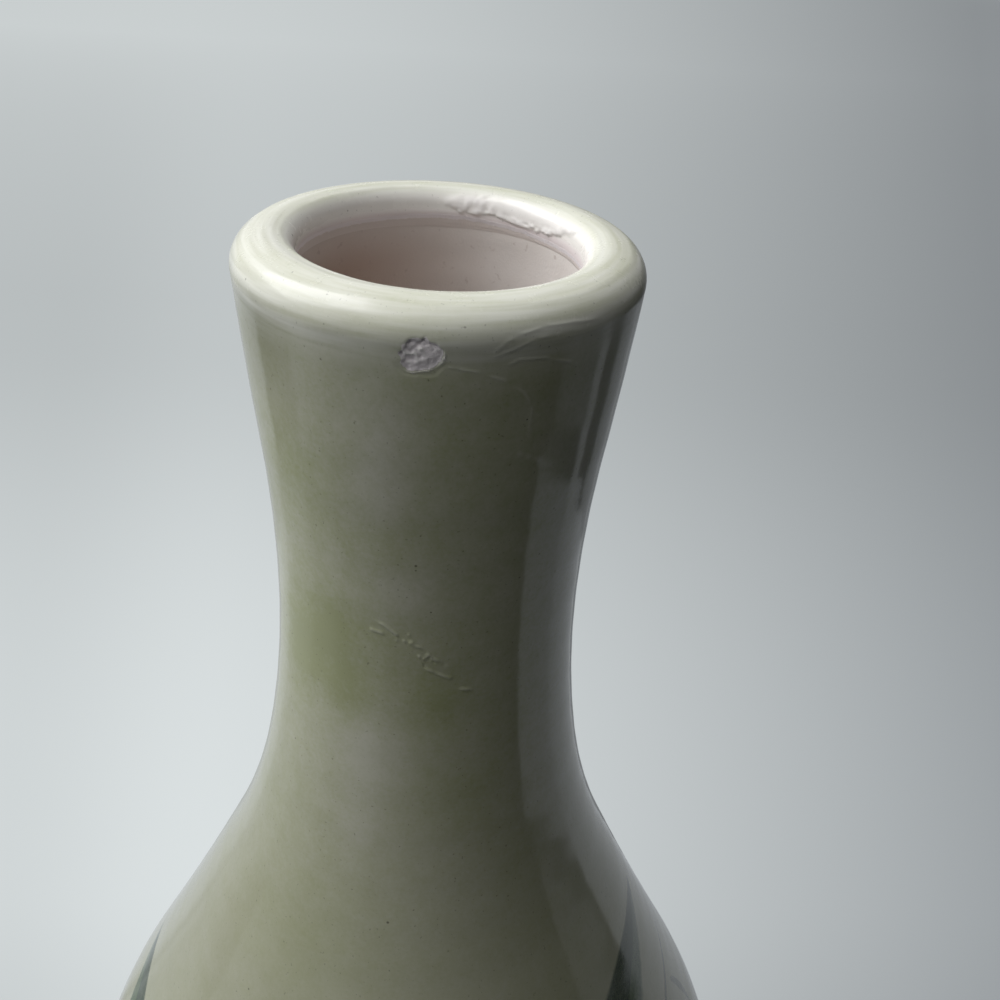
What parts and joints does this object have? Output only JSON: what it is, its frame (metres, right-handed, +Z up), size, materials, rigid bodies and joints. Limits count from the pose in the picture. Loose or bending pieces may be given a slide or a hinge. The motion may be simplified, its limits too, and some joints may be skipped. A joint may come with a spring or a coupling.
{
  "type": "bottle vase",
  "caption": "Tall glazed earthenware bottle vase with a rounded lip, slender neck, full belly, turned foot ring and painted leaf sprays.",
  "frame": {"origin": "centre of the foot ring, in the plane the vase stands on", "axes": "+Z up along the vase's axis of revolution; -Y faces the camera side, where the chip on the lip is; +X to the right of it"},
  "size_m": [0.1481, 0.1482, 0.34],
  "materials": {
    "earthenware": "matt fired clay, bare inside and on the foot ring",
    "slip": "matt fired slip",
    "white_ground": "opaque off-white ground coat",
    "green_glaze": "glossy grey-green glaze, mottled, with pinholes and scratches",
    "dark_pigment": "glossy dark green brush paint",
    "pale_pigment": "glossy thin green brush wash"
  },
  "bodies": {
    "root": {"clay_body": "earthenware", "clay_neck": "earthenware", "luting_slip": "slip", "white_ground": "white_ground", "green_glaze": "green_glaze", "dark_leaf_halves": "dark_pigment", "pale_leaf_halves": "pale_pigment", "fine_leaf_lines": "dark_pigment"}
  },
  "joints": []
}
